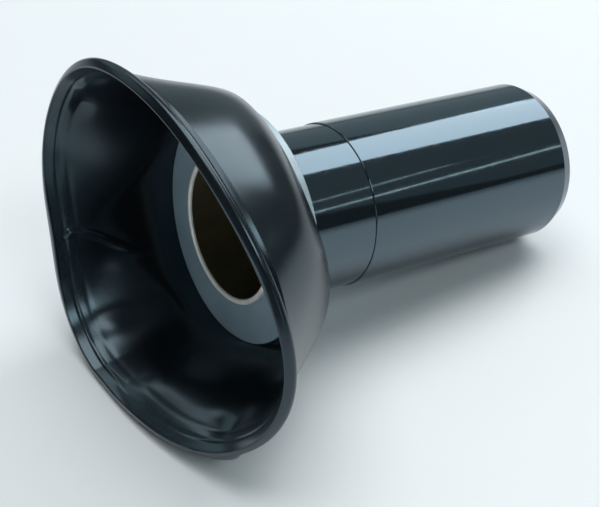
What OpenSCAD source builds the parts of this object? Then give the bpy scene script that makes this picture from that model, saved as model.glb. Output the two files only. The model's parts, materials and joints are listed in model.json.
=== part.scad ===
// Vacuum piston of a constant-velocity carburettor with its rolling rubber
// diaphragm, lying on a flat surface on its rim and on the edge of its foot.
//
// Everything is drawn in the piston's own frame and then laid down once:
// z = 0 is the front face of the clamp ring, +z points out of the mouth,
// x points away from the surface and y along it. Angles round the axis are
// measured from x towards y. Millimetres.

/* [Piston barrel] */
// Diameter of the running surface
barrel_d = 28; // [26:0.5:30]
// Length from the clamp ring's face to the foot
barrel_l = 62.4; // [56:0.2:66]
// Diameter of the return spring's bore
bore_d = 23.5; // [22:0.1:24]
// Thickness of the foot
foot_t = 4; // [3:0.5:6]
// Chamfer round the foot, inwards
foot_chamfer = 1; // [0.5:0.1:1.5]
// Chamfer round the foot, along the barrel
foot_chamfer_l = 2.2; // [0.5:0.1:3]
// Hole for the jet needle
needle_d = 3; // [2:0.1:4]
// Seat that the needle's head drops into
needle_seat_d = 7; // [5:0.5:8]
// Depth of the needle's seat
needle_seat_t = 1.5; // [1:0.1:2]
// Vacuum port beside the needle
port_d = 3.5; // [2:0.1:4]
// Distance of the vacuum port from the axis
port_offset = 7.5; // [6.5:0.1:9]

/* [Neck and rolled lip] */
// Diameter of the neck that carries the collar, flange and rings
neck_d = 24.6; // [24.5:0.1:25]
// Diameter of the lip that is rolled out over the clamp ring
lip_d = 25.4; // [25.2:0.1:26]
// Height of the rolled lip above the clamp ring
lip_h = 1.1; // [0.8:0.1:1.4]
// Running gap between the neck and what is stacked on it
neck_gap = 0.03; // [0.02:0.01:0.1]

/* [Stack at the flange] */
// Diameter of the clamp ring
ring_d = 39; // [37:0.5:40]
// Thickness of the clamp ring
ring_t = 1; // [0.8:0.1:1.5]
// Thickness of the rubber that the rings clamp
seat_t = 1; // [0.8:0.1:1.4]
// Diameter of the rubber that the rings clamp
seat_d = 38.8; // [36:0.2:39]
// Diameter of the backing flange
flange_d = 39.3; // [38:0.1:39.6]
// Thickness of the backing flange
flange_t = 1.6; // [1.2:0.1:2.4]
// Diameter of the collar behind the flange
collar_d = 27.6; // [27:0.1:27.6]
// Distance from the clamp ring's face to the seam behind the collar
seam_z = 18.7; // [15:0.1:25]
// Chamfer on each side of the seam
seam_chamfer = 0.2; // [0.1:0.05:0.3]

/* [Diaphragm] */
// Thickness of the rubber wall
wall_t = 0.9; // [0.8:0.1:1.2]
// Straight distance from the flange's edge to the rim, the same all round
wall_reach = 24.2; // [23:0.1:25]
// Radius at which the wall folds away from the flange
fold_r = 19.6; // [19.4:0.1:20]
// Depth of that fold below the clamp ring's face
fold_z = 1.6; // [1.4:0.1:2]
// Least radius of the wall's middle, which keeps it clear of the flange
wall_min_r = 20.4; // [20.4:0.1:21]
// Thickness of the bead round the rim
bead_d = 1.9; // [1.8:0.1:2.4]
// How far the locating tab stands out of the bead
tab_h = 1.3; // [0.8:0.1:2]
// Width of the locating tab
tab_w = 8; // [6:0.5:10]
// Direction of the locating tab
tab_at = 232; // [220:1:250]

/* [Lie of the rim] */
// Mean steepness of the wall, from flat like a brim (0) to straight like a tube (90)
steep_mean = 67.9; // [66:0.1:68]
// One-sided lean of the rim, largest at lean_at
lean = 16.9; // [15:0.1:17]
// Direction in which the wall stands steepest
lean_at = 111.8; // [108:0.1:116]
// Twofold warp of the rim
warp_2 = 6.6; // [5:0.1:7]
// Threefold warp of the rim
warp_3 = 4.9; // [4:0.1:5.5]
// Fourfold warp of the rim
warp_4 = 2.3; // [1:0.1:2.5]

/* [Resting place] */
// How far the barrel slopes down towards its foot
rest_tilt = 8.43; // [8:0.01:9]
// Height of the clamp ring's centre above the surface
rest_h = 22.67; // [22.4:0.01:23]
// Clamp ring's centre behind the middle of the whole, along the barrel
rest_x = -19.08; // [-25:0.01:-15]
// Clamp ring's centre beside the middle of the whole
rest_y = 5.98; // [-10:0.01:10]

/* [Hidden] */
$fn = 96;

foot_z = -barrel_l;
shoulder_z = -seam_z;
stack_r = neck_d / 2 + neck_gap;
warp_2_at = -18.7;
warp_3_at = -25.9;
warp_4_at = -67;
wall_stations = 72;
wall_steps = 9;
bead_stations = 120;
bead_sides = 10;

// Lays what is drawn in the piston's frame down on the surface.
module at_rest()
    translate([rest_x, rest_y, rest_h])
        rotate([0, rest_tilt - 90, 0])
            children();

// A ring round the axis from z0 to z1 with its outer corners broken.
module ring(r_in, r_out, z0, z1, chamfer)
    rotate_extrude()
        polygon([[r_in, z0], [r_out - chamfer, z0], [r_out, z0 + chamfer],
                 [r_out, z1 - chamfer], [r_out - chamfer, z1], [r_in, z1]]);

// ---- Metal parts ----

// Half-round crown of the rolled lip, from its outside to its inside.
lip_r = (lip_d - bore_d) / 4;
lip_mid_r = (lip_d + bore_d) / 4;
lip_crown = [for (a = [0:15:180])
    [lip_mid_r + lip_r * cos(a), lip_h - lip_r + lip_r * sin(a)]];

module barrel() color([0.05, 0.055, 0.06]) at_rest() difference() {
    rotate_extrude()
        polygon(concat(
            [[0, foot_z], [barrel_d / 2 - foot_chamfer, foot_z],
             [barrel_d / 2, foot_z + foot_chamfer_l],
             [barrel_d / 2, shoulder_z - seam_chamfer],
             [barrel_d / 2 - seam_chamfer, shoulder_z],
             [neck_d / 2, shoulder_z], [neck_d / 2, 0], [lip_d / 2, 0]],
            lip_crown,
            [[bore_d / 2, foot_z + foot_t], [0, foot_z + foot_t]]));
    translate([0, 0, foot_z - 1])
        cylinder(d = needle_d, h = foot_t + 2);
    translate([0, 0, foot_z + foot_t - needle_seat_t])
        cylinder(d = needle_seat_d, h = foot_t);
    translate([port_offset, 0, foot_z - 1])
        cylinder(d = port_d, h = foot_t + 2);
}

module collar() color([0.05, 0.055, 0.06]) at_rest()
    ring(stack_r, collar_d / 2, shoulder_z, -ring_t - seat_t - flange_t, seam_chamfer);

module backing_flange() color([0.75, 0.79, 0.81]) at_rest()
    ring(stack_r, flange_d / 2, -ring_t - seat_t - flange_t, -ring_t - seat_t, 0.3);

module clamp_ring() color([0.42, 0.46, 0.5]) at_rest()
    ring(stack_r, ring_d / 2, -ring_t, 0, 0.15);

// ---- Rubber ----

module diaphragm_seat() color([0.07, 0.075, 0.08]) at_rest()
    ring(stack_r, seat_d / 2, -ring_t - seat_t, -ring_t, 0.1);

// Points of the wall are [radius, z] pairs in the half plane at angle a.
// Steepness of the straight line from the flange's edge to the rim.
function steep(a) = steep_mean
    + lean * cos(a - lean_at)
    + warp_2 * cos(2 * (a - warp_2_at))
    + warp_3 * cos(3 * (a - warp_3_at))
    + warp_4 * cos(4 * (a - warp_4_at));

// How much the wall has sagged outwards: most where the rim leans out most.
function slack(a) = cos(steep(a)) ^ 2;

function along(a) = [cos(steep(a)), sin(steep(a))];
function outward(a) = [sin(steep(a)), -cos(steep(a))];
function turned(a, by) = cos(by) * along(a) + sin(by) * outward(a);

// Radius at which the bead's centre, at angle a and height z, lets the bead just
// meet the surface. Where the rim would sink below that, its weight presses it flat.
function touching(a, z) =
    (rest_h + z * sin(rest_tilt) - bead_d / 2 * norm([cos(a) * cos(rest_tilt), sin(rest_tilt)]))
    / (-cos(a) * cos(rest_tilt));

// The wall's inner face ends at the rim in a crisp edge; the bead swells outwards behind it.
fold_point = [fold_r, -fold_z];
function free_centre(a) = fold_point
    + (wall_reach - bead_d / 2) * along(a) + bead_d / 2 * outward(a);
function flattening(a) =
    let (c = free_centre(a)) cos(a) < -0.5 ? min(0, touching(a, c.y) - c.x) : 0;
function bead_centre(a) = free_centre(a) + [flattening(a), 0];
function rim_edge(a) = fold_point + wall_reach * along(a) + [flattening(a), 0];

// The wall starts just clear of the flange, bellies out and flares into the rim.
wall_start = [wall_min_r, -1.2];
fold_handle = 0.9;
fold_from = 17;
fold_turn = 17;
belly_at = -0.25;
belly_out = 21.1;
belly_from = 0.138;
lip_handle = 8.1;
lip_flare = 14;
function wall_handles(a) =
    let (end = rim_edge(a) + wall_t / 2 * outward(a),
         fold = fold_from + fold_turn * slack(a),
         flare = lip_flare * min(1, 0.2 + 3.2 * slack(a)))
    [wall_start,
     wall_start + fold_handle * [sin(fold), cos(fold)],
     wall_start + belly_at * (end - wall_start) + belly_out * (slack(a) - belly_from) * outward(a),
     end - lip_handle * turned(a, flare),
     end];

// Point and direction at t on the curve that a list of handles defines.
function between(p, t) =
    [for (i = [0:len(p) - 2]) (1 - t) * p[i] + t * p[i + 1]];
function curve(p, t) = len(p) == 1 ? p[0] : curve(between(p, t), t);
function heading(p, t) =
    len(p) == 2 ? (p[1] - p[0]) / norm(p[1] - p[0]) : heading(between(p, t), t);

// One face of the wall, half its thickness to the side of its middle.
function wall_point(a, t, side) =
    let (p = wall_handles(a), m = curve(p, t), d = heading(p, t))
    [max(m.x, wall_min_r) + side * wall_t / 2 * d.y, m.y - side * wall_t / 2 * d.x];

function round_axis(p, a) = [p.x * cos(a), p.x * sin(a), p.y];

// A closed skin over rings of points that follow each other round the axis.
module loop_skin(rings) {
    n = len(rings);
    m = len(rings[0]);
    polyhedron(
        points = [for (ring = rings) each ring],
        faces = [for (i = [0:n - 1], j = [0:m - 1], k = [0, 1])
            let (i1 = (i + 1) % n, j1 = (j + 1) % m)
            k == 0 ? [i * m + j, i * m + j1, i1 * m + j1]
                   : [i * m + j, i1 * m + j1, i1 * m + j]]);
}

module diaphragm_wall() color([0.07, 0.075, 0.08]) at_rest()
    loop_skin([for (i = [0:wall_stations - 1])
        let (a = i * 360 / wall_stations)
        concat(
            [for (j = [0:wall_steps]) round_axis(wall_point(a, j / wall_steps, 1), a)],
            [for (j = [wall_steps:-1:0]) round_axis(wall_point(a, j / wall_steps, -1), a)])]);

// The tab is a smooth swelling of the bead's outer side.
function tab(a) =
    let (off = abs(a - tab_at) * PI / 180 * norm(bead_centre(tab_at)))
    off < tab_w / 2 ? tab_h * (1 - (2 * off / tab_w) ^ 4) : 0;

module diaphragm_bead() color([0.07, 0.075, 0.08]) at_rest()
    loop_skin([for (i = [0:bead_stations - 1])
        let (a = i * 360 / bead_stations, c = bead_centre(a))
        [for (j = [0:bead_sides - 1])
            let (b = -j * 360 / bead_sides, out = bead_d / 2 + tab(a) * max(0, cos(b)))
            round_axis(c + [out * cos(b), bead_d / 2 * sin(b)], a)]]);

barrel();
collar();
backing_flange();
diaphragm_seat();
diaphragm_wall();
diaphragm_bead();
clamp_ring();
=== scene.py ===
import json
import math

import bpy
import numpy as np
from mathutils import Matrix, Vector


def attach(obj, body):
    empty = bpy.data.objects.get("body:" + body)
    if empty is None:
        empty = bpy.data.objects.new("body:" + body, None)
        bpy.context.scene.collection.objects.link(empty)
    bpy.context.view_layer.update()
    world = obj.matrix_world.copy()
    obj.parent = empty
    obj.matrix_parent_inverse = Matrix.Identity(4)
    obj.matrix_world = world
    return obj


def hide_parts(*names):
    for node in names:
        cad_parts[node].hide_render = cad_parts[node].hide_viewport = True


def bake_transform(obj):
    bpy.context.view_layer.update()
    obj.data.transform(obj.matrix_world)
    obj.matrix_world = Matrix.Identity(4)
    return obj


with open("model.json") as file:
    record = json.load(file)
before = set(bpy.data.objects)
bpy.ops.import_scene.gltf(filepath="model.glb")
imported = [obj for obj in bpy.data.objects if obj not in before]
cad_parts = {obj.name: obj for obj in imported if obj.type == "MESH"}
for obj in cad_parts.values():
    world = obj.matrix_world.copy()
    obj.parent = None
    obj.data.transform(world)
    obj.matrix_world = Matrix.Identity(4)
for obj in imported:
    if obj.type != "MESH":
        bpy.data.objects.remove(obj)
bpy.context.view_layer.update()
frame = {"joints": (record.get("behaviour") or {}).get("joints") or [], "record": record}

# The looks of a carburettor's vacuum piston: turned metal parts, one moulded rubber diaphragm
# and a pale tabletop.
#
# Every piece is drawn in the piston's own frame, in millimetres: z runs along the axis out of
# the mouth, with 0 at the clamp ring's front face, x points away from the table and y across
# the barrel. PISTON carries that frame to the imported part's frame, in metres.

MM = 0.001

# ---- The piston's frame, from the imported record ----

# from the clamp ring's front face to the foot
BARREL_L = 62.4

mounts = {m["name"]: m for m in frame["record"]["mounts"]}
mouth = Vector(frame["joints"][0]["axis"]).normalized()
side = Vector((0, 1, 0))
upward = side.cross(mouth)
on_axis = Vector(mounts["slide_barrel"]["pos_m"])
to_foot = (Vector(mounts["foot_face"]["pos_m"]) - on_axis).dot(mouth)
ring_centre = on_axis + mouth * (to_foot + BARREL_L * MM)
PISTON = Matrix.Translation(ring_centre) @ Matrix(
    [[upward[i] * MM, side[i] * MM, mouth[i] * MM] for i in range(3)]).to_4x4()
TILT = math.asin(mouth.z)
REST_H = ring_centre.z / MM

# ---- Sizes of the metal parts, in millimetres ----

BARREL_R = mounts["slide_barrel"]["dims"]["r_mm"]
BORE_R = mounts["spring_bore"]["dims"]["r_mm"]
NEEDLE_R = mounts["needle_hole"]["dims"]["r_mm"]
FOOT_T = 4.0
FOOT_CHAMFER, FOOT_CHAMFER_L = 1.0, 2.2
NEEDLE_SEAT_R, NEEDLE_SEAT_T = 3.5, 1.5
PORT_R, PORT_OFFSET = 1.75, 7.5
NECK_R = 12.3
LIP_R, LIP_H = 12.7, 1.1
RING_R, RING_T = 19.5, 1.0
SEAT_T = 1.0
FLANGE_R, FLANGE_T = 19.65, 1.6
COLLAR_R = 13.8
SEAM_Z = -18.7
SEAM_GAP = 0.006
NECK_GAP = 0.03
FLANGE_TOP = -RING_T - SEAT_T
FLANGE_BACK = FLANGE_TOP - FLANGE_T
# fillet of the edges that lie hidden inside the stack
HIDDEN = 0.05

# ---- Shape of the diaphragm, in millimetres and degrees ----

WALL_T = 0.9
WALL_REACH = 24.2
FOLD_R, FOLD_Z = 19.6, 1.6
WALL_MIN_R = 19.95
WALL_START_Z = -0.9
SEAT_EDGE_R = 19.2
BEAD_T = 1.9
TAB_H, TAB_W, TAB_AT = 1.9, 10.0, 232.0
TAB_EASE = 0.6
RIM_R = 35.0

# mean steepness of the wall, and its waves round the rim as (count, size, angle of the crest)
STEEP_MEAN = 67.9
WARPS = ((1, 16.9, 111.8), (2, 6.6, -18.7), (3, 4.9, -25.9), (4, 2.3, -67.0))
# the rim is pressed flat where at least this share of its outward direction points down
FACES_TABLE = 0.4

# where the wall lies flatter it has slack, and bulges; FULL_SLACK counts as all of it
FULL_SLACK = 0.4
START_SHIFT = (-0.3, -0.6)
LEAVES_AT, LEAVES_PER_SLACK, LEAVES_ARM = 17, 150, 0.9
BELLY_ARM, BELLY_PER_SLACK, BELLY_NONE_AT = 0.25, 21.1, 0.138
LIP_TURN, LIP_BASE, LIP_PER_SLACK, LIP_ARM = 14, 0.2, 3.2, 8.1

# the bowl-like side: its angle and half-width, and its handles, the last two back from the rim
BOWL_AT, BOWL_SPREAD = 330.0, 44.0
BOWL_LEAVES_AT, BOWL_ARM = 60.0, 6.1
BOWL_WAIST, BOWL_RIM = (1.0, 16.1), (1.1, 8.1)

# the wall stays clear of the clamp ring's edge once it has risen past CLEAR_FROM
CLEAR_FROM, CLEAR_OVER, CLEAR_EASE = -1.4, 0.6, 0.12

# soft dents, as (angle, distance from the rim, depth inwards, spread around, spread along)
DENTS = ((204, 7.2, 1.9, 11.0, 6.2), (126, 7.5, -0.8, 5.0, 5.0), (158, 6.5, 0.5, 3.0, 3.5),
         (47, 3.4, 0.5, 1.9, 1.4), (57, 4.8, -0.5, 2.1, 1.4), (38, 5.6, 0.4, 2.6, 1.4),
         (234, 4.5, -0.6, 3.5, 2.5))
DENT_R = 30.0
DENT_FREE = 2.5
# grooves round the inside, as (distance from the rim, depth, half-width)
GROOVES = ((2.15, 0.13, 0.22), (4.2, 0.06, 0.35))

# a thin crease on the inside: where it runs, by distance from the rim, and its section
CREASE_AT, CREASE_R = 111.0, 20.0
CREASE_FROM, CREASE_TO, CREASE_FADE = 1.8, 17.0, 9.0
CREASE_BEND, CREASE_DRIFT, CREASE_EASE = 5.0, 1.75, 0.8
CREASE_HOOK_TO, CREASE_HOOK = 3.2, 1.3
CREASE_H, CREASE_W = 0.55, 0.55

# the band of painted sheen on the inside, a grey reflection painted into the rubber: its distance from
# the rim, its spread and the bare edge
SHEEN_AT, SHEEN_SPREAD, SHEEN_FREE = 1.5, 4.5, 0.4


# ---- Mesh helpers ----

def make_object(name, verts, faces):
    """A smooth-shaded mesh whose points are given in the piston's frame."""
    mesh = bpy.data.meshes.new(name)
    mesh.from_pydata([tuple(v) for v in verts], [], faces)
    mesh.polygons.foreach_set("use_smooth", [True] * len(mesh.polygons))
    mesh.update()
    obj = bpy.data.objects.new(name, mesh)
    bpy.context.scene.collection.objects.link(obj)
    mesh.transform(PISTON)
    return obj


def loop_faces(rings, points, flip=False):
    """Quads between closed rings of points that follow each other in a closed loop."""
    faces = []
    for i in range(rings):
        here, there = i * points, (i + 1) % rings * points
        for j in range(points):
            k = (j + 1) % points
            a, b, c, d = here + j, here + k, there + k, there + j
            faces.append((a, d, c, b) if flip else (a, b, c, d))
    return faces


def rounded(corners, steps=5, hold=0.03):
    """A closed outline from (r, z, fillet) corners, with a tight support point at each arc's ends."""
    points = []
    for k, (r, z, fillet) in enumerate(corners):
        here = np.array([r, z])
        before = np.array(corners[k - 1][:2])
        after = np.array(corners[(k + 1) % len(corners)][:2])
        a = (before - here) / np.linalg.norm(before - here)
        b = (after - here) / np.linalg.norm(after - here)
        half = math.acos(np.clip(a @ b, -1, 1)) / 2
        setback = fillet / math.tan(half)
        centre = here + (a + b) / np.linalg.norm(a + b) * fillet / math.sin(half)
        first, last = here + a * setback, here + b * setback
        points.append(first + a * hold)
        sweep = math.pi - 2 * half
        u, v = first - centre, last - centre
        for s in range(steps + 1):
            t = s / steps
            arc = math.sin((1 - t) * sweep) * u + math.sin(t * sweep) * v
            points.append(centre + arc / math.sin(sweep))
        points.append(last + b * hold)
    return np.array(points)


def lathe(name, outline, segments=256):
    """A solid turned about the piston's axis from a closed (r, z) outline."""
    r, z = outline[:, 0], outline[:, 1]
    angles = np.arange(segments) * 2 * math.pi / segments
    verts = np.concatenate([np.stack([r * math.cos(t), r * math.sin(t), z], 1) for t in angles])
    area = 0.5 * np.sum(r * np.roll(z, -1) - np.roll(r, -1) * z)
    return make_object(name, verts, loop_faces(segments, len(outline), flip=area > 0))


def drill(obj, offset, radius, z0, z1, sides=64):
    """Cuts a round hole parallel to the axis and above it."""
    angles = np.arange(sides) * 2 * math.pi / sides
    ring = np.stack([offset + radius * np.cos(angles), radius * np.sin(angles)], 1)
    verts = [(*p, z) for z in (z0, z1) for p in ring]
    faces = [(i, (i + 1) % sides, sides + (i + 1) % sides, sides + i) for i in range(sides)]
    faces += [tuple(range(sides - 1, -1, -1)), tuple(range(sides, 2 * sides))]
    cutter = make_object("cutter", verts, faces)
    cut = obj.modifiers.new("hole", "BOOLEAN")
    cut.object = cutter
    cut.operation = "DIFFERENCE"
    cut.solver = "EXACT"
    graph = bpy.context.evaluated_depsgraph_get()
    mesh = bpy.data.meshes.new_from_object(obj.evaluated_get(graph))
    obj.modifiers.clear()
    obj.data = mesh
    bpy.data.objects.remove(cutter)


# ---- Material helpers ----

class Nodes:
    """Short names for building one procedural material."""

    def __init__(self, name):
        self.material = bpy.data.materials.new(name)
        self.material.use_nodes = True
        self.tree = self.material.node_tree
        self.shader = self.tree.nodes["Principled BSDF"]

    def add(self, kind, **values):
        node = self.tree.nodes.new(kind)
        for key, value in values.items():
            setattr(node, key, value)
        return node

    def link(self, out, into):
        self.tree.links.new(out, into)

    def set(self, **values):
        """Puts values that are the same all over straight on the shader."""
        for key, value in values.items():
            self.shader.inputs[key.replace("_", " ")].default_value = value

    def drive(self, key, out):
        """Feeds one of the shader's sockets."""
        self.link(out, self.shader.inputs[key])

    def object_coords(self):
        return self.add("ShaderNodeTexCoord").outputs["Object"]

    def stretched(self, coords, scale):
        node = self.add("ShaderNodeMapping")
        node.inputs["Scale"].default_value = scale
        self.link(coords, node.inputs["Vector"])
        return node.outputs["Vector"]

    def noise(self, coords, scale, detail, roughness=0.55):
        node = self.add("ShaderNodeTexNoise")
        for key, value in (("Scale", scale), ("Detail", detail), ("Roughness", roughness)):
            node.inputs[key].default_value = value
        self.link(coords, node.inputs["Vector"])
        return node.outputs["Fac"]

    def multiply(self, a, b):
        node = self.add("ShaderNodeMath", operation="MULTIPLY")
        self.link(a, node.inputs[0])
        self.link(b, node.inputs[1])
        return node.outputs[0]

    def ramp(self, value, low, high):
        """A colour that runs from low to high, each given as (value, colour)."""
        node = self.add("ShaderNodeValToRGB")
        for element, (position, colour) in zip(node.color_ramp.elements, (low, high)):
            element.position = position
            element.color = (*colour, 1.0)
        self.link(value, node.inputs["Fac"])
        return node.outputs["Color"]

    def span(self, value, source, target=(0.0, 1.0)):
        """value carried from one (low, high) to another, held at the ends."""
        node = self.add("ShaderNodeMapRange", clamp=True)
        for key, number in zip(("From Min", "From Max", "To Min", "To Max"), (*source, *target)):
            node.inputs[key].default_value = number
        self.link(value, node.inputs["Value"])
        return node.outputs["Result"]

    def mix(self, factor, a, b):
        """Colour a where the factor is 0 and b where it is 1; each is a colour or an output."""
        node = self.add("ShaderNodeMix", data_type="RGBA")
        self.link(factor, node.inputs["Factor"])
        colour_a, colour_b = node.inputs[6], node.inputs[7]
        for socket, value in ((colour_a, a), (colour_b, b)):
            if isinstance(value, tuple):
                socket.default_value = (*value, 1.0)
            else:
                self.link(value, socket)
        return node.outputs[2]

    def bump(self, height, strength, distance, normal=None):
        node = self.add("ShaderNodeBump")
        node.inputs["Strength"].default_value = strength
        node.inputs["Distance"].default_value = distance
        self.link(height, node.inputs["Height"])
        if normal is not None:
            self.link(normal, node.inputs["Normal"])
        return node.outputs["Normal"]


def paint(obj, *materials):
    obj.data.materials.clear()
    for material in materials:
        obj.data.materials.append(material)


# ---- Materials ----

def rubber_material():
    """Glossy black rubber, with a painted sheen: a mottled grey band painted into the colour on the
    inside near the rim.
    """
    n = Nodes("black rubber")
    n.set(IOR=1.68, Specular_Tint=(0.66, 0.87, 1.0, 1))
    p = n.object_coords()
    cloud = n.noise(p, scale=90, detail=4, roughness=0.6)
    grain = n.noise(p, scale=2600, detail=2, roughness=0.5)
    wave = n.noise(p, scale=160, detail=2, roughness=0.5)
    sheen_field = n.noise(p, scale=240, detail=4, roughness=0.65)
    black = n.ramp(cloud, (0.35, (0.0035, 0.0045, 0.006)), (0.75, (0.006, 0.0075, 0.010)))
    # painted sheen: the rubber is lightened to grey in a mottled band inside near the rim, standing in
    # for a reflection
    painted_sheen_near_rim = n.add("ShaderNodeAttribute", attribute_name="painted_sheen_near_rim").outputs["Fac"]
    painted_sheen = n.multiply(painted_sheen_near_rim, n.span(sheen_field, (0.3, 0.7), (0.45, 1.0)))
    # the grey that the painted sheen lightens the black rubber to
    n.drive("Base Color", n.mix(painted_sheen, black, (0.020, 0.031, 0.039)))
    n.drive("Roughness", n.span(cloud, (0.3, 0.75), (0.18, 0.27)))
    soft = n.bump(wave, strength=0.16, distance=0.12 * MM)
    n.drive("Normal", n.bump(grain, strength=0.25, distance=0.01 * MM, normal=soft))
    return n.material


def anodised_material():
    """Polished black hard anodising, with faint lengthwise rubbing."""
    n = Nodes("black anodising")
    n.set(IOR=2.15, Specular_Tint=(0.62, 0.84, 1.0, 1))
    p = n.object_coords()
    rub = n.noise(n.stretched(p, (1.0, 12.0, 12.0)), scale=220, detail=4, roughness=0.6)
    cloud = n.noise(p, scale=60, detail=3, roughness=0.5)
    n.drive("Base Color", n.ramp(cloud, (0.3, (0.005, 0.0065, 0.008)), (0.8, (0.009, 0.011, 0.013))))
    n.drive("Roughness", n.span(rub, (0.35, 0.7), (0.06, 0.12)))
    n.drive("Normal", n.bump(rub, strength=0.12, distance=0.008 * MM))
    return n.material


def bore_material():
    """Olive brown inside the bore."""
    n = Nodes("olive anodising")
    n.set(Metallic=0.35, IOR=1.6)
    p = n.object_coords()
    cloud = n.noise(p, scale=110, detail=4, roughness=0.6)
    n.drive("Base Color", n.ramp(cloud, (0.3, (0.10, 0.085, 0.045)), (0.75, (0.16, 0.14, 0.075))))
    n.drive("Roughness", n.span(cloud, (0.3, 0.7), (0.28, 0.45)))
    n.drive("Normal", n.bump(n.noise(p, scale=900, detail=2), strength=0.2, distance=0.01 * MM))
    return n.material


def bare_material(name, colour, roughness, metallic):
    """Bare metal with faint clouds of tarnish."""
    n = Nodes(name)
    n.set(Metallic=metallic)
    p = n.object_coords()
    cloud = n.noise(p, scale=300, detail=4, roughness=0.6)
    tarnished = tuple(c * 0.78 for c in colour)
    n.drive("Base Color", n.ramp(cloud, (0.3, tarnished), (0.7, colour)))
    n.drive("Roughness", n.span(cloud, (0.3, 0.7), (roughness, roughness + 0.12)))
    n.drive("Normal", n.bump(n.noise(p, scale=1500, detail=2), strength=0.25, distance=0.01 * MM))
    return n.material


def ring_material():
    """Matt blue-grey surface of the clamp ring."""
    n = Nodes("blue-grey ring")
    n.set(Metallic=0.25, IOR=1.5)
    p = n.object_coords()
    cloud = n.noise(p, scale=140, detail=4, roughness=0.6)
    n.drive("Base Color", n.ramp(cloud, (0.3, (0.23, 0.31, 0.36)), (0.75, (0.28, 0.37, 0.43))))
    n.drive("Roughness", n.span(cloud, (0.3, 0.7), (0.42, 0.55)))
    n.drive("Normal", n.bump(n.noise(p, scale=1800, detail=3), strength=0.3, distance=0.015 * MM))
    return n.material


# ---- Metal parts ----

def paint_by_place(obj, rules, default=0):
    """Gives each face the material index of the first rule that its centre's (r, z) meets."""
    back = PISTON.inverted()
    for face in obj.data.polygons:
        centre = back @ face.center
        r = math.hypot(centre.x, centre.y)
        face.material_index = next((index for test, index in rules if test(r, centre.z)), default)


def make_barrel():
    """Foot, running surface, neck and rolled lip in one, bored out from the mouth."""
    foot = -BARREL_L
    floor = foot + FOOT_T
    seat = floor - NEEDLE_SEAT_T
    shoulder = SEAM_Z - SEAM_GAP
    lip_fillet = (LIP_R - BORE_R) / 2 * 0.95
    outline = rounded([
        (NEEDLE_R, foot, 0.15),
        (BARREL_R - FOOT_CHAMFER, foot, 0.12),
        (BARREL_R, foot + FOOT_CHAMFER_L, 0.15),
        (BARREL_R, shoulder, 0.18),
        (NECK_R, shoulder, 0.02),
        (NECK_R, 0.01, 0.03),
        (LIP_R, 0.02, 0.12),
        (LIP_R, LIP_H, lip_fillet),
        (BORE_R, LIP_H, lip_fillet),
        (BORE_R, floor, 0.6),
        (NEEDLE_SEAT_R, floor, 0.15),
        (NEEDLE_SEAT_R, seat, 0.1),
        (NEEDLE_R, seat, 0.1),
    ], steps=6)
    obj = lathe("barrel_body", outline)
    drill(obj, PORT_OFFSET, PORT_R, foot - 1, floor + 1)
    paint(obj, anodised, olive, lip_metal)
    on_lip = lambda r, z: z > 0.0 and r > BORE_R - 0.01
    in_bore = lambda r, z: r < BORE_R + 0.02 and z > foot + 0.3
    paint_by_place(obj, [(on_lip, 2), (in_bore, 1)])
    return obj


def turned_ring(name, r_out, z0, z1, fillet0, fillet1, material, inner0=HIDDEN):
    """A ring on the neck from z0 to z1, with a fillet on each outer edge."""
    r_in = NECK_R + NECK_GAP
    outline = rounded([
        (r_in, z0, inner0),
        (r_out, z0, fillet0),
        (r_out, z1, fillet1),
        (r_in, z1, HIDDEN)])
    obj = lathe(name, outline)
    paint(obj, material)
    return obj


def make_collar():
    return turned_ring("collar_sleeve", COLLAR_R, SEAM_Z + SEAM_GAP, FLANGE_BACK - 0.01,
                       0.02, 0.1, anodised, inner0=0.02)


def make_flange():
    return turned_ring("flange_plate", FLANGE_R, FLANGE_BACK, FLANGE_TOP, 0.35, 0.25, flange_metal)


def make_clamp_ring():
    return turned_ring("clamp_ring_face", RING_R, -RING_T, 0, 0.2, 0.22, ring_metal)


# ---- Rubber diaphragm ----

def cosd(a):
    return np.cos(np.radians(a))


def sind(a):
    return np.sin(np.radians(a))


def column(v):
    return np.asarray(v)[:, None]


def turn_from(a, at):
    """Degrees from one direction round to another, between -180 and 180."""
    return (a - at + 180) % 360 - 180


def around(a, at, radius):
    """Distance round the wall from a direction, in millimetres."""
    return turn_from(a, at) * math.pi / 180 * radius


def eased(x, ease):
    """x where it is above 0 and 0 where it is below, with a soft corner."""
    return ease * np.logaddexp(0, x / ease)


def step_lengths(curve):
    return np.linalg.norm(np.diff(curve, axis=1), axis=-1)


def rim_frames(a):
    """The rim's inner edge as (r, z), the directions along the wall and outwards, and the slack."""
    steep = STEEP_MEAN + sum(size * cosd(count * (a - at)) for count, size, at in WARPS)
    along = np.stack([cosd(steep), sind(steep)], -1)
    outward = np.stack([sind(steep), -cosd(steep)], -1)
    edge = np.array([FOLD_R, -FOLD_Z]) + WALL_REACH * along
    # where the rim would sink below the table, its weight presses it flat
    half = BEAD_T / 2
    bead = edge + half * (outward - along)
    down = -cosd(a) * math.cos(TILT)
    drop = half * np.hypot(down, math.sin(TILT))
    facing = down > FACES_TABLE
    touching = (REST_H + bead[:, 1] * math.sin(TILT) - drop) / np.where(facing, down, 1)
    edge[:, 0] += np.where(facing, np.minimum(0, touching - bead[:, 0]), 0)
    return edge, along, outward, cosd(steep) ** 2


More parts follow.
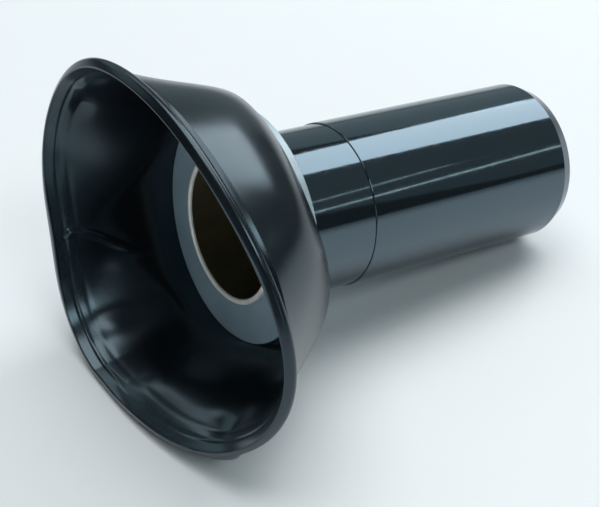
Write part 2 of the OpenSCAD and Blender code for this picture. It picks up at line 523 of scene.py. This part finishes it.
def wall_handles(a):
    """Five handles of the wall's curve from the rings to the rim, and its direction at the rim."""
    edge, along, outward, slack = rim_frames(a)
    turned = lambda by: column(cosd(by)) * along + column(sind(by)) * outward
    end = edge + WALL_T / 2 * outward
    free = column(np.clip(slack / FULL_SLACK, 0, 1))
    start = np.array([WALL_MIN_R, WALL_START_Z]) + free * np.array(START_SHIFT)
    leaves = LEAVES_AT + LEAVES_PER_SLACK * slack
    belly = column(BELLY_PER_SLACK * (slack - BELLY_NONE_AT)) * outward
    lip = turned(LIP_TURN * np.clip(LIP_BASE + LIP_PER_SLACK * slack, 0, 1))
    plain = [start,
             start + LEAVES_ARM * np.stack([sind(leaves), cosd(leaves)], -1),
             start - BELLY_ARM * (end - start) + belly,
             end - LIP_ARM * lip,
             end]
    # on one side the wall leaves the rings like a bowl and then runs almost straight to the rim
    bowl = [start,
            start + BOWL_ARM * np.array([sind(BOWL_LEAVES_AT), cosd(BOWL_LEAVES_AT)]),
            end - np.array(BOWL_WAIST),
            end - np.array(BOWL_RIM),
            end]
    share = column(np.exp(-(turn_from(a, BOWL_AT) / BOWL_SPREAD) ** 4))
    return [p + share * (b - p) for p, b in zip(plain, bowl)], lip


def keep_clear(curve):
    """Holds the wall outside the clamp ring's edge, with a soft corner."""
    over = curve[..., 0] - WALL_MIN_R
    hold = np.clip((curve[..., 1] - CLEAR_FROM) / CLEAR_OVER, 0, 1)
    curve[..., 0] = WALL_MIN_R + (1 - hold) * over + hold * eased(over, CLEAR_EASE)


def lead_in(curve, points=11):
    """A short run-up from the clamped seat to the start of the wall."""
    t = np.linspace(0, 1, points + 1)[:-1][None, :, None]
    seat_end = np.array([SEAT_EDGE_R, FLANGE_TOP + SEAT_T / 2])
    knee = np.stack([curve[:, 0, 0] - 0.1, np.full(len(curve), seat_end[1])], -1)[:, None]
    return (1 - t) ** 2 * seat_end + 2 * t * (1 - t) * knee + t ** 2 * curve[:, :1]


def evenly(path, steps, bunching=0.13, smoothings=3):
    """The path in even steps along its length, closer together near the fold and the rim."""
    gone = np.concatenate([np.zeros((len(path), 1)), np.cumsum(step_lengths(path), 1)], 1)
    u = np.linspace(0, 1, steps)
    u = u - bunching * np.sin(2 * np.pi * u)
    even = np.empty((len(path), steps, 2))
    for k in range(len(path)):
        for c in range(2):
            even[k, :, c] = np.interp(u * gone[k, -1], gone[k], path[k, :, c])
    for _ in range(smoothings):
        even[:, 1:-1] = 0.25 * even[:, :-2] + 0.5 * even[:, 1:-1] + 0.25 * even[:, 2:]
    return even


def wall_middle(a, steps, points=200):
    """Middle of the wall from the clamp rings to the rim, and the wall's direction as it ends."""
    handles, lip = wall_handles(a)
    last = len(handles) - 1
    t = np.linspace(0, 1, points)[None, :, None]
    curve = sum(math.comb(last, k) * ((1 - t) ** (last - k) * t ** k) * handle[:, None]
                for k, handle in enumerate(handles))
    keep_clear(curve)
    return evenly(np.concatenate([lead_in(curve), curve], 1), steps), lip


def wall_normals(middle, lip):
    """Directions away from the bell's inside."""
    heading = np.gradient(middle, axis=1)
    heading /= np.linalg.norm(heading, axis=-1, keepdims=True)
    heading[:, -1] = lip
    return np.stack([heading[..., 1], -heading[..., 0]], -1)


def to_rim(middle):
    """Distance along the wall from each point to the rim."""
    back = np.cumsum(step_lengths(middle)[:, ::-1], 1)[:, ::-1]
    return np.concatenate([back, np.zeros((len(middle), 1))], 1)


def dent_depth(a, left):
    dents = (depth * np.exp(-(around(a, at, DENT_R) / wide) ** 2 - ((left - down) / tall) ** 2)
             for at, down, depth, wide, tall in DENTS)
    return sum(dents) * np.clip(left / DENT_FREE, 0, 1)


def groove_depth(left):
    return sum(depth * np.exp(-((left - at) / wide) ** 2) for at, depth, wide in GROOVES)


def crease_height(a, left):
    """A thin fold on the inside that starts near the rim and wanders off towards the clamp ring."""
    drift = CREASE_DRIFT * eased(left - CREASE_BEND, CREASE_EASE)
    hook = CREASE_HOOK * np.clip(CREASE_HOOK_TO - left, 0, None)
    off = around(a, CREASE_AT + drift + hook, CREASE_R)
    fade_in = np.clip(left - CREASE_FROM, 0, 1)
    fade_out = np.clip((CREASE_TO - left) / CREASE_FADE, 0, 1)
    return CREASE_H * fade_in * fade_out * np.exp(-(off / CREASE_W) ** 2)


def tab_share(a):
    """1 on the locating tab, falling smoothly to 0 beside it."""
    off = np.abs(around(a, TAB_AT, RIM_R))
    return 0.5 + 0.5 * np.cos(np.pi * np.clip((off - TAB_EASE) / (TAB_W / 2 + TAB_EASE), 0, 1))


def bead_outline():
    """The rim's section past the wall's outer face, as (back from the tip, out from the inner face)."""
    q = np.linspace(0, np.pi / 2, 8)
    crest_w, crest_from = 0.8, 1.05
    back_at, back_w, back_h = 1.0, 0.72, 0.7
    root_at, root_w, root_from, root_h = 1.72, 0.34, 1.2, 0.3
    nick = [(0.22, 0.0), (0.12, 0.03), (0.03, 0.12), (0.0, 0.22), (0.0, 0.5), (0.0, 0.78)]
    crest = np.stack([crest_w * (1 - np.cos(q)), crest_from + (BEAD_T - crest_from) * np.sin(q)], -1)
    back = np.stack([back_at + back_w * np.sin(q), BEAD_T - back_h * (1 - np.cos(q))], -1)
    root = np.stack([root_at + root_w * (1 - np.cos(q)), root_from - root_h * np.sin(q)], -1)[1:]
    return np.concatenate([nick, crest, back, root])


def rim_bead(a, tip, lip):
    """The bead with its locating tab, from the inner edge round to the wall's outer face."""
    section = bead_outline()
    outward = np.stack([lip[:, 1], -lip[:, 0]], -1)
    swell = np.clip((section[:, 1] - WALL_T) / (BEAD_T - WALL_T), 0, 1) * TAB_H
    out = section[None, :, 1] + tab_share(a)[:, None] * swell[None]
    return tip - lip[:, None] * section[None, :, :1] + outward[:, None] * (out[..., None] - WALL_T / 2)


def clamped_seat(points=8, overlap=0.15, clear=0.01):
    """The flat seat between the rings: its underside going outwards and its top going inwards."""
    r = np.linspace(SEAT_EDGE_R - overlap, NECK_R + 0.4, points)
    under = np.stack([r[::-1], np.full(points, FLANGE_TOP + clear)], -1)
    over = np.stack([r, np.full(points, FLANGE_TOP + SEAT_T - clear)], -1)
    return under, over


def make_diaphragm(stations=480, steps=84):
    """Seat, wall, bead and tab as one moulding: a closed section that changes round the axis."""
    a = np.arange(stations) * 360 / stations
    middle, lip = wall_middle(a, steps)
    left = to_rim(middle)
    middle = middle - wall_normals(middle, lip) * dent_depth(a[:, None], left)[..., None]
    normal = wall_normals(middle, lip)
    depth = WALL_T / 2 - groove_depth(left) + crease_height(a[:, None], left)
    # the faces stop short of the rim, where the bead takes over
    inner_part, outer_part = left[0] > 0.2, left[0] > 2.4
    inner = (middle - normal * depth[..., None])[:, inner_part]
    outer = (middle + normal * WALL_T / 2)[:, outer_part]
    bead = rim_bead(a, middle[:, -1:], lip)
    under, over = clamped_seat()
    ones = np.ones((stations, 1, 1))
    profile = np.concatenate([under * ones, outer, bead[:, ::-1], inner[:, ::-1], over * ones], 1)
    ca, sa = cosd(a)[:, None], sind(a)[:, None]
    verts = np.stack([profile[..., 0] * ca, profile[..., 0] * sa, profile[..., 1]], -1).reshape(-1, 3)
    obj = make_object("diaphragm", verts, loop_faces(stations, profile.shape[1], flip=True))
    # the band of painted sheen inside near the rim, handed to the rubber's colour as a point attribute
    sheen_field = np.zeros(profile.shape[:2])
    first = len(under) + outer.shape[1] + bead.shape[1]
    inner_left = left[:, inner_part][:, ::-1]
    band = np.exp(-((inner_left - SHEEN_AT) / SHEEN_SPREAD) ** 2) * (inner_left > SHEEN_FREE)
    sheen_field[:, first:first + inner.shape[1]] = band
    obj.data.attributes.new("painted_sheen_near_rim", "FLOAT", "POINT").data.foreach_set("value", sheen_field.ravel())
    paint(obj, rubber)
    return obj


# ---- Build ----

rubber = rubber_material()
anodised = anodised_material()
olive = bore_material()
lip_metal = bare_material("bare lip", (0.97, 0.95, 0.88), 0.32, metallic=0.15)
flange_metal = bare_material("satin aluminium", (0.50, 0.60, 0.66), 0.42, metallic=0.35)
ring_metal = ring_material()

for build, node, finish in ((make_barrel, "barrel", "black_anodised"),
                            (make_collar, "collar", "black_anodised"),
                            (make_flange, "backing_flange", "bare_aluminium"),
                            (make_clamp_ring, "clamp_ring", "grey_aluminium")):
    piece = build()
    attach(piece, "piston")
    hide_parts(node)

# the diaphragm is baked in place and attached to no body
diaphragm = make_diaphragm()
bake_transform(diaphragm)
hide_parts("diaphragm_seat", "diaphragm_wall", "diaphragm_bead")


# ---- Tabletop, light and camera ----

def direction(azimuth, elevation):
    """Unit vector that points that way from the object, azimuth from +X towards +Y."""
    a, e = math.radians(azimuth), math.radians(elevation)
    return Vector((math.cos(a) * math.cos(e), math.sin(a) * math.cos(e), math.sin(e)))


def degrees_across(angle, distance):
    """Width of what spans that angle at that distance."""
    return 2 * distance * math.tan(math.radians(angle / 2))


def softbox(name, place, distance, size, radiance, colour, spin=0.0):
    """A glowing card: place is (azimuth, elevation) and size (width, height), seen from the object."""
    light = bpy.data.lights.new(name, "AREA")
    light.shape = "RECTANGLE"
    light.size = degrees_across(size[0], distance)
    light.size_y = degrees_across(size[1], distance)
    light.energy = radiance * math.pi * light.size * light.size_y
    light.color = colour
    obj = bpy.data.objects.new(name, light)
    bpy.context.scene.collection.objects.link(obj)
    way = direction(*place)
    obj.rotation_mode = "QUATERNION"
    turn = way.to_track_quat("Z", "Y")
    obj.rotation_quaternion = turn @ Matrix.Rotation(math.radians(spin), 4, "Z").to_quaternion()
    obj.location = way * distance + Vector((0, 0, 0.02))


def make_table():
    """A large pale tabletop with painted shade: its colour darkens away from the object, standing in
    for less light far out.
    """
    half = 3.0
    mesh = bpy.data.meshes.new("tabletop")
    corners = [(-half, -half, 0), (half, -half, 0), (half, half, 0), (-half, half, 0)]
    mesh.from_pydata(corners, [], [(0, 1, 2, 3)])
    table = bpy.data.objects.new("tabletop", mesh)
    bpy.context.scene.collection.objects.link(table)
    n = Nodes("pale table")
    n.set(Roughness=0.6)
    distance = n.add("ShaderNodeVectorMath", operation="LENGTH")
    n.link(n.object_coords(), distance.inputs[0])
    # painted shade: the colour falls from pale to grey between 0.15 m and 0.45 m from the object
    far = n.span(distance.outputs["Value"], (0.15, 0.45))
    n.drive("Base Color", n.mix(far, (0.87, 0.875, 0.885), (0.52, 0.54, 0.56)))
    paint(table, n.material)


def make_world():
    """Faint cool light from all round."""
    world = bpy.data.worlds.new("studio")
    bpy.context.scene.world = world
    world.use_nodes = True
    background = world.node_tree.nodes["Background"]
    background.inputs["Color"].default_value = (0.70, 0.95, 1.0, 1)
    background.inputs["Strength"].default_value = 0.045


def make_lights():
    """The broad lights, the dim room that the polished metal mirrors, and two thin strips."""
    cool = (0.75, 0.95, 1.0)
    near, far = 0.6, 2.6
    softbox("window", (15, 43), near, (28, 28), 4.0, (0.92, 0.97, 1.0))
    softbox("overhead", (60, 80), far, (46, 46), 3.25, (0.96, 0.99, 1.0))
    softbox("back_wall", (90, 40), far, (24, 18), 1.2, (0.85, 0.97, 1.0))
    softbox("room", (-87, 47), far, (26, 15), 4.6, (0.84, 0.98, 1.0))
    softbox("low_left", (-165, 12), far, (56, 20), 1.8, (0.85, 0.95, 1.0))
    softbox("low_front", (-95, 10), far, (30, 20), 0.5, cool)
    softbox("low_back", (105, 20), far, (50, 20), 0.5, (0.70, 0.95, 1.0))
    softbox("pale_wall", (50, 18), 1.8, (44, 34), 0.38, cool)
    softbox("dim_wall", (-12, 28), 3.0, (76, 44), 0.15, cool)
    softbox("strip", (-42, 21.5), near, (1.1, 32), 3.0, (0.86, 1.0, 0.94), spin=90)
    softbox("short_strip", (-45, 31.5), near, (0.7, 18), 2.2, (0.88, 1.0, 0.96), spin=90)


def make_camera():
    """Looks down at the bell's mouth from the front left, with the whole piston in view."""
    azimuth, elevation, roll = math.radians(-33.67), math.radians(37.49), math.radians(0.21)
    distance = 238.4 * MM
    aim_right, aim_down = 10.95 * MM, 4.16 * MM
    forward = Vector((-math.sin(azimuth) * math.cos(elevation),
                      math.cos(azimuth) * math.cos(elevation), -math.sin(elevation)))
    right = forward.cross(Vector((0, 0, 1))).normalized()
    up = right.cross(forward)
    aim = ring_centre + right * aim_right - up * aim_down
    data = bpy.data.cameras.new("camera")
    data.lens = 88.36
    data.sensor_width = 36.0
    data.clip_start = 0.01
    data.clip_end = 20.0
    camera = bpy.data.objects.new("camera", data)
    bpy.context.scene.collection.objects.link(camera)
    camera.location = aim - forward * distance
    camera.rotation_mode = "QUATERNION"
    level = (-forward).to_track_quat("Z", "Y")
    camera.rotation_quaternion = level @ Matrix.Rotation(roll, 4, "Z").to_quaternion()
    bpy.context.scene.camera = camera


make_table()
make_world()
make_lights()
make_camera()
bpy.context.scene.view_settings.view_transform = "Standard"
